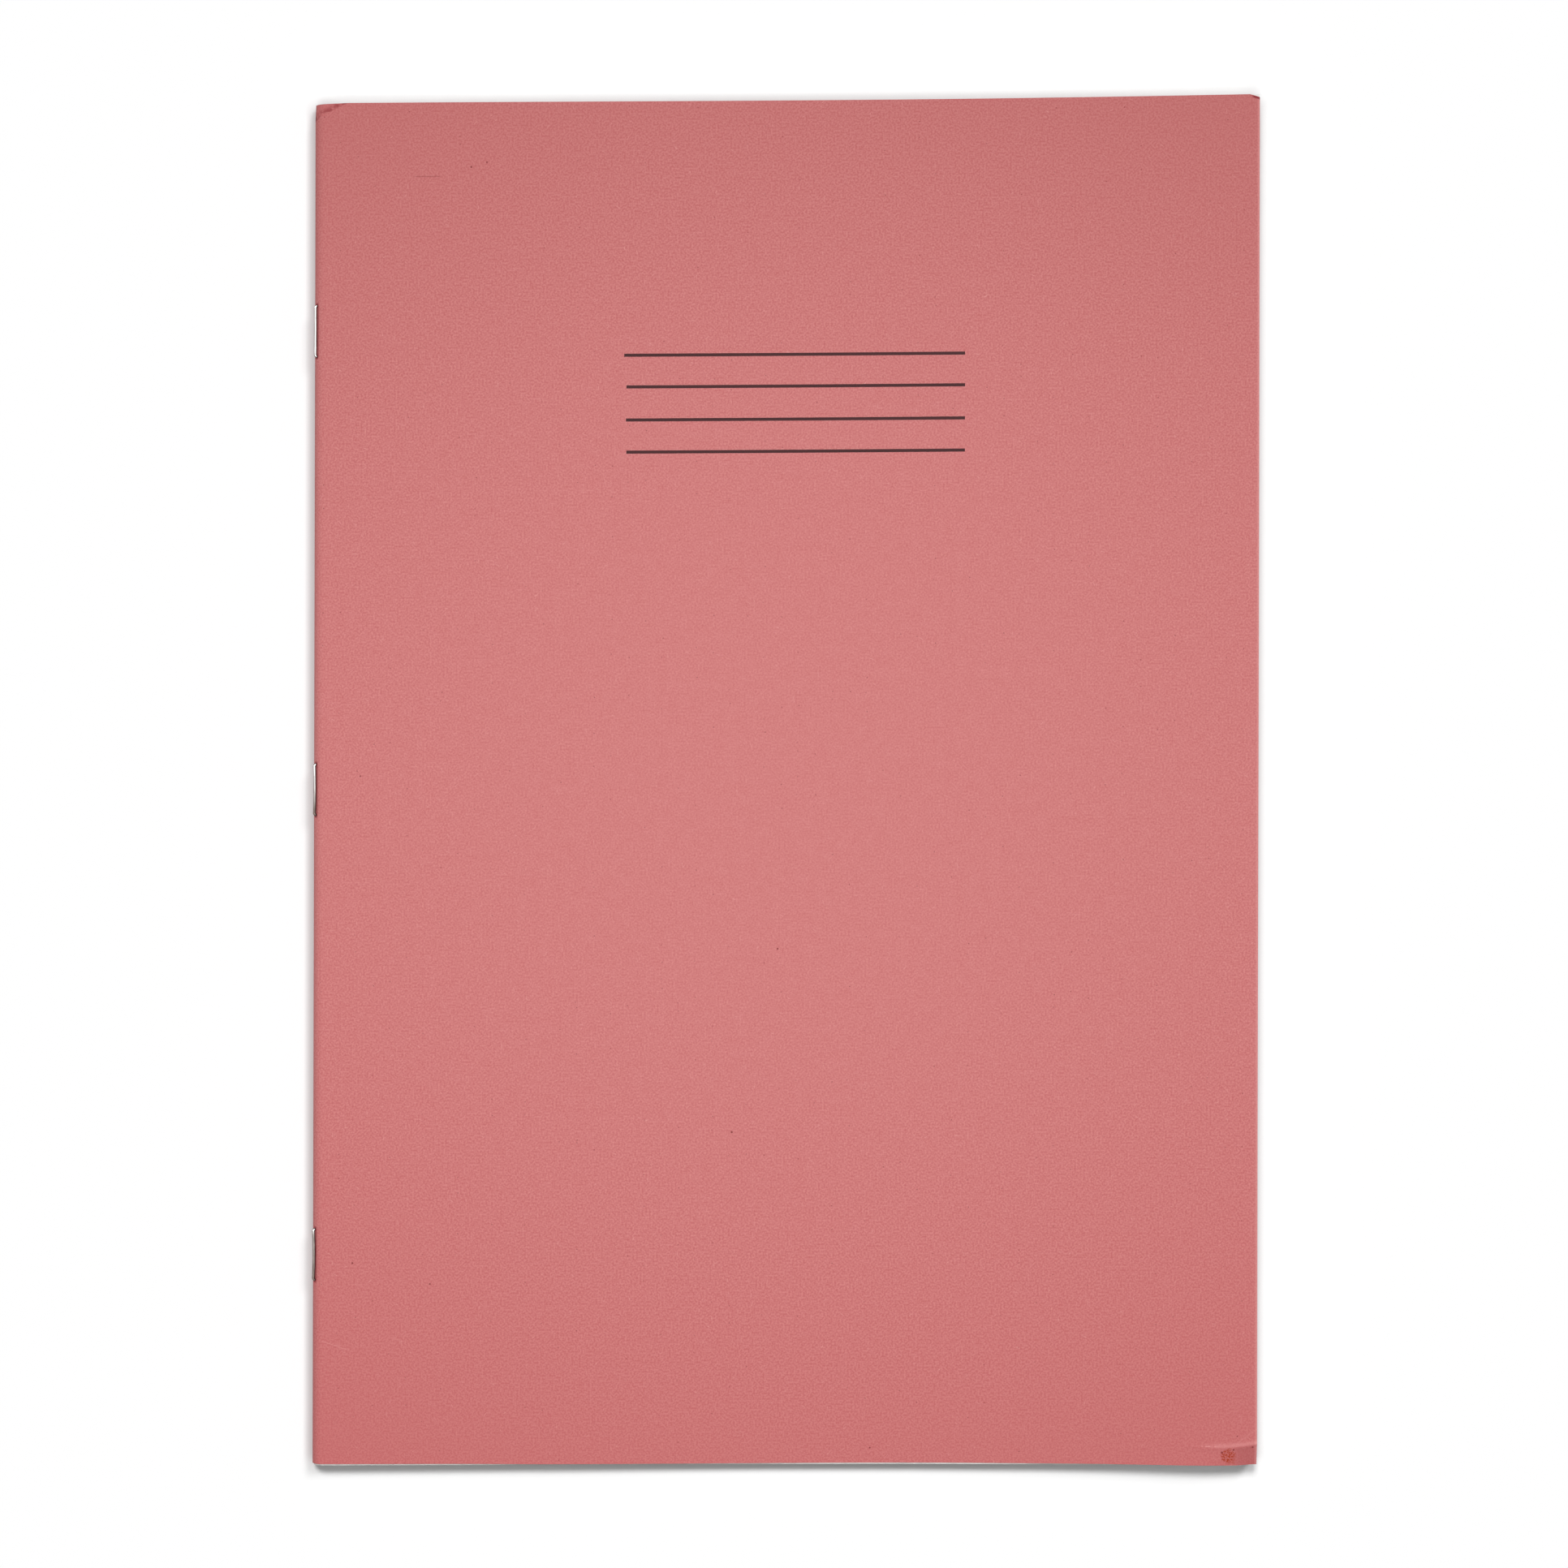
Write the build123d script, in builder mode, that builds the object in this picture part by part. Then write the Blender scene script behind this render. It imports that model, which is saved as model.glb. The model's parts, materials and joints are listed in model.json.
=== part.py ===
from build123d import *
import os
from math import cos, radians, sin

# A stapled exercise book, closed and lying on its back cover. The spine is at -X, the fore-edge at +X,
# the head at +Y and the back cover's outer face at Z = 0. All sizes are in millimetres and degrees.

# Driving dimensions of the closed book
PAGE_HEIGHT = 297.0  # head to tail
BOOK_WIDTH = 205.5  # outside of the spine to the fore-edge
SHEET_COUNT = 16  # folded sheets, two leaves each
GAPE_ANGLE = 0.4  # how far the front cover stands open by itself

# Paper and card
PAPER = 0.10  # thickness of one leaf
PAGE_AIR = 0.01  # air between two leaves at the fold
CARD = 0.25  # thickness of the cover
FOLD_LAND = 0.6  # flat width of a fold strip beside its bend

# Wire staples
WIRE = 0.6  # wire diameter
CROWN = 11.6  # length of the visible bar, over its legs
CLINCH = 4.2  # leg end that lies bent over in the centre fold
BEND = 0.45  # centreline radius of the bends in the wire
HEAD_MARGIN = 49.6  # from the head to the middle of the top staple
TAIL_MARGIN = 46.0  # from the tail to the middle of the bottom staple
MIDDLE_RAISE = 0.7  # how far the third staple sits above the place half way between those two
STITCH_ANGLE = 40.0  # how far round from the middle of the spine the crowns sit
CROWN_SEAT = 0.02  # clearance between a crown and the cover
CLINCH_CLEARANCE = 0.06  # between the bent-over legs and the innermost fold
HOLE_CLEARANCE = 0.05  # around a leg, on the radius

# The folds are rings about one line, the fold axis, with the clinched wire lying on it
PAGE_PITCH = PAPER + PAGE_AIR
INNER_FOLD = WIRE / 2 + CLINCH_CLEARANCE
COVER_FOLD = INNER_FOLD + SHEET_COUNT * PAGE_PITCH
SPINE_RADIUS = COVER_FOLD + CARD
CROWN_RADIUS = SPINE_RADIUS + CROWN_SEAT + WIRE / 2
LEAF_REACH = BOOK_WIDTH - SPINE_RADIUS  # fold axis to fore-edge

# The fold axis stands where the whole book is centred on the origin, with its back cover on Z = 0
CROWN_REACH = CROWN_RADIUS * cos(radians(STITCH_ANGLE)) + WIRE / 2
SPINE_REACH = max(SPINE_RADIUS, CROWN_REACH)
FOLD_AXIS = (-(LEAF_REACH - SPINE_REACH) / 2, 0, SPINE_RADIUS)

# The staples stand in a plane through the fold axis: local X runs along the spine, local Z out of it
LEG_REACH = (CROWN - WIRE) / 2
TOP_PLACE = PAGE_HEIGHT / 2 - HEAD_MARGIN
BOTTOM_PLACE = TAIL_MARGIN - PAGE_HEIGHT / 2
STAPLES = {
    "staple_top": TOP_PLACE,
    "staple_middle": (TOP_PLACE + BOTTOM_PLACE) / 2 + MIDDLE_RAISE,
    "staple_bottom": BOTTOM_PLACE,
}
STITCH_OUT = (-cos(radians(STITCH_ANGLE)), 0, sin(radians(STITCH_ANGLE)))
STITCH_PLANE = Plane(origin=FOLD_AXIS, x_dir=(0, 1, 0), z_dir=STITCH_OUT)
LEG_PLACES = [(place + side * LEG_REACH, 0) for place in STAPLES.values() for side in (-1, 1)]

os.makedirs("parts", exist_ok=True)


def save(piece, name):
    """Label a finished piece and write it as its own node."""
    piece.label = name
    export_step(piece, f"parts/{name}.step")


def make_leaf(name, fold_radius, thickness, tilt, side):
    """A flat leaf that runs from its fold strip to the fore-edge; side is 1 in front of the fold, -1 behind."""
    along = (cos(radians(tilt)), 0, sin(radians(tilt)))
    across = (-sin(radians(tilt)), 0, cos(radians(tilt)))
    length = LEAF_REACH - FOLD_LAND
    with BuildPart(Plane(origin=FOLD_AXIS, x_dir=along, z_dir=across)) as leaf:
        with Locations((FOLD_LAND + length / 2, 0, side * (fold_radius + thickness / 2))):
            Box(length, PAGE_HEIGHT, thickness)
    save(leaf.part, name)


def make_fold(name, fold_radius, thickness, tilt):
    """The bend between two leaves, half a ring with a flat land at each end, pierced by the staple legs."""
    with BuildPart() as fold:
        with BuildSketch(Plane(origin=FOLD_AXIS, x_dir=(1, 0, 0), z_dir=(0, -1, 0))):
            with BuildLine():
                inside = CenterArc((0, 0), fold_radius, 90 + tilt, 180 - tilt)
                outside = CenterArc((0, 0), fold_radius + thickness, 90 + tilt, 180 - tilt)
                for end, lie in ((0, tilt), (1, 0)):
                    land_inside = PolarLine(inside @ end, FOLD_LAND, lie)
                    land_outside = PolarLine(outside @ end, FOLD_LAND, lie)
                    Line(land_inside @ 1, land_outside @ 1)
            make_face()
        extrude(amount=PAGE_HEIGHT / 2, both=True)
        with BuildSketch(STITCH_PLANE):
            with Locations(*LEG_PLACES):
                Circle(WIRE / 2 + HOLE_CLEARANCE)
        extrude(amount=CROWN_RADIUS, mode=Mode.SUBTRACT)
    save(fold.part, name)


def make_staple(name, place):
    """One wire: a crown outside the spine, two legs through the folds, and two ends bent over inside."""
    tip = LEG_REACH - CLINCH
    corners = (
        (-tip, 0, 0),
        (-LEG_REACH, 0, 0),
        (-LEG_REACH, 0, CROWN_RADIUS),
        (LEG_REACH, 0, CROWN_RADIUS),
        (LEG_REACH, 0, 0),
        (tip, 0, 0),
    )
    seat = Plane(origin=STITCH_PLANE.from_local_coords((place, 0, 0)), x_dir=(0, 1, 0), z_dir=STITCH_OUT)
    with BuildPart() as staple:
        with BuildLine() as wire:
            FilletPolyline(*[seat.from_local_coords(corner) for corner in corners], radius=BEND)
        with BuildSketch(Plane(origin=wire.line @ 0, z_dir=wire.line % 0)):
            Circle(WIRE / 2)
        sweep()
    save(staple.part, name)


# Cover card: the front cover stands a little open, and the back cover lies flat
make_leaf("front_cover", COVER_FOLD, CARD, GAPE_ANGLE, 1)
make_fold("cover_spine", COVER_FOLD, CARD, GAPE_ANGLE)
make_leaf("back_cover", COVER_FOLD, CARD, 0, -1)

# Sheets, numbered from the outermost inwards; their front leaves share the gape out evenly
for number in range(1, SHEET_COUNT + 1):
    nested = SHEET_COUNT - number
    fold_radius = INNER_FOLD + nested * PAGE_PITCH
    tilt = GAPE_ANGLE * (nested + 1) / (SHEET_COUNT + 1)
    make_leaf(f"sheet_{number:02d}_front_leaf", fold_radius, PAPER, tilt, 1)
    make_fold(f"sheet_{number:02d}_fold", fold_radius, PAPER, tilt)
    make_leaf(f"sheet_{number:02d}_back_leaf", fold_radius, PAPER, 0, -1)

# Staples
for name, place in STAPLES.items():
    make_staple(name, place)

print("spine thickness", 2 * SPINE_RADIUS, "fold axis", FOLD_AXIS)
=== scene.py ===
# %% [markdown]
# # A stapled exercise book
# The real book is twenty things: one card cover that is folded once, sixteen sheets of ruled paper that are
# folded once and nested in each other, and three wire staples through the fold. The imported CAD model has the
# right sizes and joints, but its folds are stiff strips between flat leaves. This lesson makes card and paper
# again as thin skins that bend at the fold, and gives card, paper, ink and wire their finishes.

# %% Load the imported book
import json
import math
import random

import bmesh
import bpy
from mathutils import Matrix, Vector


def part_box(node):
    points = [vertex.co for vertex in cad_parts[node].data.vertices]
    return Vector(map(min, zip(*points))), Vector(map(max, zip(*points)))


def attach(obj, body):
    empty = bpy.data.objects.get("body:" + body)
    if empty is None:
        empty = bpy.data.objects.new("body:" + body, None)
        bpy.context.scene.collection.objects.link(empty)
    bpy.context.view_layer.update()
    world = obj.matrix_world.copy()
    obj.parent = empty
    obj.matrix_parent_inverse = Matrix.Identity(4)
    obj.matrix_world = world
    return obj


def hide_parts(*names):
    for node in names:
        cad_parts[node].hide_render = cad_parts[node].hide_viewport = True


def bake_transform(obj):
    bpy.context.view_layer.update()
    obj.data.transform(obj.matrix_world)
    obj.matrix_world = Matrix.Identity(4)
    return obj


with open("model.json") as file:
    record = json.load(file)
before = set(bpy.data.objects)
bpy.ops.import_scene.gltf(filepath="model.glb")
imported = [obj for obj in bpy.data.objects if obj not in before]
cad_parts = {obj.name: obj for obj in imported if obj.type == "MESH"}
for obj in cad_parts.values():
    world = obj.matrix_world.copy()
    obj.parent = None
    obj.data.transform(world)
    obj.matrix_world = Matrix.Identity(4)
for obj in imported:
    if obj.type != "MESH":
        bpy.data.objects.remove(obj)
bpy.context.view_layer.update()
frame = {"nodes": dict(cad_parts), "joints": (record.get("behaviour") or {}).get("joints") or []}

scene = bpy.context.scene
scene.view_settings.view_transform = "Standard"

# %% [markdown]
# ## Sizes
# The fold axis and the angle at which the book gapes come from its main hinge, and most other sizes from the
# boxes of the CAD pieces, so that the skins fit the solids. A box doesn't tell how thick a wire is or how it
# is bent, so such sizes are written down again. The spine is at -X, the fore-edge at +X and the head at +Y.

# %% Sizes read from the frame
MM = 0.001
joints = {joint["name"]: joint for joint in frame["joints"]}
FOLD_AXIS = Vector(joints["book_open"]["pos_m"])
GAPE = math.radians(180 - joints["book_open"]["range_deg"][1])

back_low, back_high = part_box("back_cover")
CARD = back_high.z - back_low.z
HALF_HEIGHT = back_high.y
REACH = back_high.x - FOLD_AXIS.x  # fold axis to fore-edge
SPINE_RADIUS = FOLD_AXIS.z - back_low.z

WIRE = 0.6 * MM
staple_boxes = {name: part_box(name) for name in ("staple_top", "staple_middle", "staple_bottom")}
STAPLE_LEGS = [(low.y + WIRE / 2, high.y - WIRE / 2) for low, high in staple_boxes.values()]
crown_low, crown_high = staple_boxes["staple_top"]
crown_place = Vector((crown_low.x + WIRE / 2 - FOLD_AXIS.x, 0, crown_high.z - WIRE / 2 - FOLD_AXIS.z))
STITCH_OUT = crown_place.normalized()
STITCH_ANGLE = math.atan2(STITCH_OUT.z, -STITCH_OUT.x)  # how far up round the spine the crowns sit

sheets = sorted(name.removesuffix("_front_leaf") for name in frame["nodes"] if name.startswith("sheet")
                and name.endswith("_front_leaf"))
print(len(sheets), "sheets, reach", round(REACH / MM, 2), "mm, gape", round(math.degrees(GAPE), 2), "degrees")

# %% [markdown]
# ## Camera
# The photograph was taken from above, but not quite squarely: the book is a little taller at its fore-edge
# than at its spine in the picture, so the camera leans that way, and it rolls a little because the book lay
# slightly clockwise. The lens follows from the camera's distance and from how many pixels a millimetre of
# the cover fills.

# %% Camera
PHOTO_SIDE = 1932  # pixels
PHOTO_SCALE = 5.649  # pixels to a millimetre of the cover
CAMERA_AIM = Vector((-0.01 * MM, 0.39 * MM, SPINE_RADIUS))
CAMERA_DISTANCE = 700 * MM
CAMERA_LEAN = math.radians(1.0)
CAMERA_ROLL = math.radians(0.13)

camera_data = bpy.data.cameras.new("camera")
camera_data.lens = camera_data.sensor_width * CAMERA_DISTANCE / (PHOTO_SIDE / PHOTO_SCALE * MM)
camera = bpy.data.objects.new("camera", camera_data)
camera.location = CAMERA_AIM + CAMERA_DISTANCE * Vector((math.sin(CAMERA_LEAN), 0, math.cos(CAMERA_LEAN)))
camera.rotation_euler = (0, CAMERA_LEAN, CAMERA_ROLL)
scene.collection.objects.link(camera)
scene.camera = camera
print("lens", round(camera_data.lens, 1), "mm")

# %% [markdown]
# ## Writing shaders as sums
# A procedural finish is mostly arithmetic on patterns. Joining Math nodes by hand hides that arithmetic, so a
# small class stands for one socket and lets Python's own signs add the nodes. Soft steps, windows and lines
# are what every mark is drawn with, so they are its methods.

# %% Values
class Value:
    """One output socket. Arithmetic on it adds Math nodes to its tree."""

    def __init__(self, shading, socket):
        self.shading = shading
        self.socket = socket

    def out(self, name):
        """Another output of the same node."""
        return Value(self.shading, self.socket.node.outputs[name])

    def math(self, operation, *terms):
        return self.shading.node("ShaderNodeMath", {"operation": operation}, enumerate(terms))

    def __add__(self, other):
        return self.math("ADD", self, other)

    def __sub__(self, other):
        return self.math("SUBTRACT", self, other)

    def __rsub__(self, other):
        return self.math("SUBTRACT", other, self)

    def __mul__(self, other):
        return self.math("MULTIPLY", self, other)

    def __abs__(self):
        return self.math("ABSOLUTE", self)

    __radd__ = __add__
    __rmul__ = __mul__

    def rise(self, low, high):
        """A soft step from 0 at low to 1 at high; low may be the larger of the two."""
        return self.shading.node("ShaderNodeMapRange", {"interpolation_type": "SMOOTHSTEP"},
                                 {"Value": self, "From Min": low, "From Max": high})

    def within(self, start, full, fading, end):
        """A soft window that opens from start to full and closes from fading to end."""
        return self.rise(start, full) * self.rise(end, fading)

    def near(self, edge, core):
        """A soft line along 0: it is 1 up to core on both sides, and 0 from edge on."""
        return abs(self).rise(edge, core)


# %% [markdown]
# Every other node comes from one method, which sets a node's settings first and then fills or links its
# sockets. The few nodes that several finishes share have a short method of their own on top of it.

# %% Shadings
class Shading:
    """The node tree of one material or of the world."""

    def __init__(self, owner):
        owner.use_nodes = True
        self.owner = owner
        self.tree = owner.node_tree
        self.tree.nodes.clear()

    def node(self, kind, settings=(), inputs=(), output=0):
        made = self.tree.nodes.new(kind)
        for name, setting in dict(settings).items():
            setattr(made, name, setting)
        for place, value in dict(inputs).items():
            if isinstance(value, Value):
                self.tree.links.new(value.socket, made.inputs[place])
            else:
                made.inputs[place].default_value = value
        return Value(self, made.outputs[output]) if made.outputs else made

    def mix(self, amount, first, second):
        """The first colour where amount is 0 and the second where it is 1."""
        return self.node("ShaderNodeMix", {"data_type": "RGBA"}, {0: amount, 6: first, 7: second}, output=2)

    def noise(self, place, scale, detail=2.0):
        return self.node("ShaderNodeTexNoise", {}, {"Vector": place, "Scale": scale, "Detail": detail})

    def attribute(self, name, output):
        """What the points of a piece have stored under that name."""
        return self.node("ShaderNodeAttribute", {"attribute_name": name}, output=output)

    def distance(self, place, point):
        """How far a place is from a fixed point."""
        return self.node("ShaderNodeVectorMath", {"operation": "DISTANCE"}, {0: place, 1: point},
                         output="Value")

    def seen_itself(self):
        """1 for rays that show this surface to the camera, straight, in shiny wire or through glass."""
        ray = self.node("ShaderNodeLightPath", output="Is Camera Ray")
        return ray + ray.out("Is Glossy Ray") + ray.out("Is Transmission Ray")

    def bump(self, relief, strength):
        """A bumpy normal from a relief in millimetres."""
        return self.node("ShaderNodeBump", {}, {"Height": relief, "Strength": strength, "Distance": MM})

    def skin(self, sockets):
        """Ends a material in one Principled surface, and gives the material."""
        surface = self.node("ShaderNodeBsdfPrincipled", {}, sockets)
        self.node("ShaderNodeOutputMaterial", {}, {"Surface": surface})
        return self.owner


def shade(red, green, blue):
    """A screen colour of 0 to 255 as the linear colour that Blender reckons with."""
    linear = [((c / 255 + 0.055) / 1.055) ** 2.4 if c > 10 else c / 255 / 12.92 for c in (red, green, blue)]
    return (*linear, 1.0)


# %% [markdown]
# ## Light
# The shadow tells where the light stood: dark below the tail, wide and soft beside the spine, and a mere
# breath at the other two edges. So the main lamp stood beyond the head, a second one more towards the
# fore-edge, and a weak one opposite. They are far away beside the size of a book, so they are sun lamps,
# whose angle is the width of the lamp as the book sees it. With a dim sky they light a flat page at about 1,
# so that a colour comes out as it is written. The camera and shiny wire see a white sky.

# %% Lamps and sky
SKY_LEVEL = 0.11


def hang_lamp(name, towards, degrees_wide, level):
    """A far lamp that lights a flat page at that level."""
    towards = Vector(towards).normalized()
    lamp_data = bpy.data.lights.new(name, "SUN")
    lamp_data.angle = math.radians(degrees_wide)
    lamp_data.energy = level * math.pi / towards.z
    lamp = bpy.data.objects.new(name, lamp_data)
    lamp.location = towards
    lamp.rotation_euler = towards.to_track_quat("Z", "Y").to_euler()
    scene.collection.objects.link(lamp)


hang_lamp("main_lamp", towards=(-0.08, 0.59, 1), degrees_wide=16, level=0.52)
hang_lamp("side_lamp", towards=(0.62, 0.74, 1), degrees_wide=18, level=0.24)
hang_lamp("fill_lamp", towards=(-0.05, -0.62, 1), degrees_wide=20, level=0.13)

sky = Shading(bpy.data.worlds.new("sky"))
strength = SKY_LEVEL + (1 - SKY_LEVEL) * sky.seen_itself()
background = sky.node("ShaderNodeBackground", {}, {"Color": (1, 1, 1, 1), "Strength": strength})
sky.node("ShaderNodeOutputWorld", {}, {"Surface": background})
scene.world = sky.owner
print("three lamps, and a sky at", SKY_LEVEL)

# %% [markdown]
# ## Floor
# The floor is a wide pale sheet that takes the book's shadow as any matt surface does. The camera and shiny
# wire see it white, with a faint glow that lifts its unshaded part to full white, and with a painted contact
# shade that darkens the last millimetres before whatever lies on it. To other surfaces it is a light grey, so
# that it doesn't fill the shadow below the tail by way of the pages' edges.

# %% Floor
FLOOR_HALF = 3.0
FLOOR_GLOW = 0.04
FLOOR_WHITE = (0.96, 0.96, 0.96, 1)
FLOOR_CONTACT_SHADE = (0.09, 0.0, 0.01, 1)
CONTACT_REACH = 3.1 * MM
FLOOR_GREY = (0.62, 0.62, 0.62, 1)
SHARP_ANGLE = math.radians(40)

paper_floor = Shading(bpy.data.materials.new("white_floor"))
seen = paper_floor.seen_itself()
# painted contact shade: the floor's colour darkens where ambient occlusion finds the book close by
openness = paper_floor.node("ShaderNodeAmbientOcclusion", {}, {"Distance": CONTACT_REACH}, output="AO")
paint = paper_floor.mix(seen, FLOOR_GREY, paper_floor.mix(openness, FLOOR_CONTACT_SHADE, FLOOR_WHITE))
matt = paper_floor.node("ShaderNodeBsdfDiffuse", {}, {"Color": paint})
glow = paper_floor.node("ShaderNodeEmission", {}, {"Color": (1, 1, 1, 1), "Strength": FLOOR_GLOW * seen})
both = paper_floor.node("ShaderNodeAddShader", {}, {0: matt, 1: glow})
paper_floor.node("ShaderNodeOutputMaterial", {}, {"Surface": both})


def make_piece(name, bm, *materials):
    """Turns a bmesh into an object at the origin, smooth except at its sharp edges."""
    mesh = bpy.data.meshes.new(name)
    bm.to_mesh(mesh)
    bm.free()
    mesh.shade_smooth()
    mesh.set_sharp_from_angle(angle=SHARP_ANGLE)
    for material in materials:
        mesh.materials.append(material)
    piece = bpy.data.objects.new(name, mesh)
    scene.collection.objects.link(piece)
    return piece


bm = bmesh.new()
aside = Matrix.Translation((FLOOR_HALF / 2, 0, 0))  # keeps the seam of its two triangles away from the book
bmesh.ops.create_grid(bm, x_segments=1, y_segments=1, size=FLOOR_HALF, matrix=aside)
floor = make_piece("floor", bm, paper_floor.owner)
print(floor.name, 2 * FLOOR_HALF, "m wide")

# %% [markdown]
# ## Card
# The cover is uncoated manila: dyed pulp, so it has a fine tooth, soft clouds, pale stray fibres and a few
# dark specks, and no gloss. The patterns must bend with the card, so they read a stored attribute, the place
# of each point on the flat blank in millimetres: X runs from the front of the fold to the fore-edge and is
# negative round the spine, Y runs up the page, and Z is 0 outside and 1 inside. Fibres and specks are both
# made from a pattern of random cells, of which only a few are lucky enough to show their heart.

# %% Pulp patterns
PALE_FIBRE = shade(232, 172, 168)
CURL_SCALE = 0.45
FIBRE_TURNS = (10, 65, 130)  # degrees
FIBRE_CELL = (1.2, 10.0, 1.0)  # how wide and how long a cell is
FIBRE_EDGE = (0.065, 0.02)  # soft step on the distance from the heart of a cell
FIBRE_LUCK = (0.78, 1.02)  # soft step on a cell's random number
FIBRE_STRENGTH = 0.42
DARK_SPECK = shade(120, 36, 38)
SPECK_SCALE = 0.27
SPECK_EDGE = (0.048, 0.02)
SPECK_LUCK = (0.72, 1.10)
SPECK_STRENGTH = 0.75


def lucky_cells(shading, place, scale, edge, luck):
    """The hearts of a few random cells."""
    heart = shading.node("ShaderNodeTexVoronoi", {"voronoi_dimensions": "2D"},
                         {"Vector": place, "Scale": scale}, output="Distance")
    number = shading.node("ShaderNodeSeparateXYZ", {}, {0: heart.out("Color")})
    return heart.rise(*edge) * number.rise(*luck)


def pulp_fibres(shading, place):
    """Thin pale fibres that lie in several directions and curl a little."""
    curl = shading.noise(place, CURL_SCALE).out("Color")
    curled = shading.node("ShaderNodeVectorMath", {"operation": "ADD"}, {0: place, 1: curl})
    fibres = 0.0
    for turn in FIBRE_TURNS:
        lain = shading.node("ShaderNodeMapping", {"vector_type": "TEXTURE"}, {
            "Vector": curled, "Location": (turn, 0, 0), "Rotation": (0, 0, math.radians(turn)),
            "Scale": FIBRE_CELL})
        fibres = fibres + lucky_cells(shading, lain, 1.0, FIBRE_EDGE, FIBRE_LUCK)
    return fibres


# %% [markdown]
# ### Wear, painted shade and highlights
# Years of handling left marks on the front: a creased, dog-eared tail corner with a rubbed stain, a crushed
# head corner at the spine, a scratch and some single dark specks. The bent corners also get painted shade, and
# the dog-ear's ridge and the fore-edge get painted highlights. They are drawn as soft steps on the distance
# from a line or a point, at the places where the photograph shows them. Two of those lines also shape the card
# further on, so they are written for numbers and for shader values alike.

# %% Lines of the two bent corners, in millimetres on the flat blank
HALF_MM = HALF_HEIGHT / MM
REACH_MM = REACH / MM
NOSE_MM = SPINE_RADIUS / MM  # how far the spine stands out behind the fold axis
CREASE_LEVEL = 3.9  # the dog-ear's crease at its lowest, above the tail
CREASE_LOWEST = 194.0  # where on the run that is
CREASE_CURVE = 0.011
CRUSH_DEPTH = 3.4  # how far the crushed head corner reaches down the spine
CRUSH_WIDTH = 7.5  # and along the head


def below_crease(run, tail):
    """How far a place is below the dog-ear's crease; tail is its height above the tail."""
    from_lowest = run - CREASE_LOWEST
    return CREASE_LEVEL + CREASE_CURVE * from_lowest * from_lowest - tail


def inside_crush(run, head):
    """How far a place is inside the crushed corner; head is its depth below the head."""
    return CRUSH_DEPTH - (run + NOSE_MM) * (CRUSH_DEPTH / CRUSH_WIDTH) - head


# %% Creases, painted shade and highlights, as edges and cores of lines, steps, and windows in millimetres
HAIRLINE_ABOVE = 0.3  # how far the crease's worn hairline lies above it
HAIRLINE_WIDTH = (0.15, 0.04)
HAIRLINE_RUN = (188.5, 191, 193, 196)
HAIRLINE_PATCHES = (0.42, 0.56)  # a step on the pattern that breaks the marks up
RIDGE_BAND = (-1.3, -0.4, -0.15, 0.15)  # of the painted highlight on the ridge, below the crease
RIDGE_RUN = (191, 196)
SPUR_SLANT = 1.35  # a short crease branches off upwards, with so much run to its height
SPUR_START = 3.4
SPUR_WIDTH = (0.55, 0.1)
SPUR_HEIGHT = (4.6, 5.4, 7.0, 9.5)
NICK_LEVEL = 27.2  # another one starts at the spine, so far above the tail
NICK_FALL = 0.34  # and falls so much for each millimetre of run
NICK_WIDTH = (0.16, 0.04)
NICK_RUN = (-1.0, 1.0, 4.0, 8.0)
EAR_DEPTH = (-0.1, 0.5)
EAR_RUN = (197.5, 199.5)
RIM_BAND = (-0.45, 0.25, 0.3, 1.8)  # of the painted shade, inside the crushed corner's line
RIM_PATCHES = (0.25, 0.62)
RIM_RETREAT = 0.2  # how far that line draws back in front of the spine
RIM_RETREAT_RUN = (0.5, 3.0)
CRUSHED_DEPTH = (-0.2, 0.6)
CRUSHED_RUN = (-6, -3)


def pale_creases_and_highlights(run, tail, patchy):
    """Pale where folding broke the surface, at the dog-ear's hairline and the nick at the spine; painted
    highlight on the dog-ear's ridge and spur.
    """
    below = below_crease(run, tail)
    hairline = (below + HAIRLINE_ABOVE).near(*HAIRLINE_WIDTH) * run.within(*HAIRLINE_RUN)
    hairline = hairline * patchy.rise(*HAIRLINE_PATCHES)
    ridge = below.within(*RIDGE_BAND) * run.rise(*RIDGE_RUN) * (0.5 + patchy)
    spur = (run - CREASE_LOWEST - SPUR_SLANT * (tail - CREASE_LEVEL) - SPUR_START).near(*SPUR_WIDTH)
    spur = spur * tail.within(*SPUR_HEIGHT)
    nick = (tail - NICK_LEVEL + NICK_FALL * run).near(*NICK_WIDTH) * run.within(*NICK_RUN)
    return 0.8 * hairline + 0.45 * ridge + 0.2 * spur + 0.45 * nick


def fold_shades(run, head, tail, patchy):
    """Painted shade in the bent card: below the dog-ear's crease, and in the crushed corner with its ragged
    rim.
    """
    ear = below_crease(run, tail).rise(*EAR_DEPTH) * run.rise(*EAR_RUN)
    ragged = inside_crush(run, head) + (patchy - 0.5) - RIM_RETREAT * run.rise(*RIM_RETREAT_RUN)
    rim = ragged.within(*RIM_BAND) * patchy.rise(*RIM_PATCHES)
    crushed = (0.95 * rim + 0.22 * ragged.rise(*CRUSHED_DEPTH)) * run.rise(*CRUSHED_RUN)
    return 0.26 * ear + crushed


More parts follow.
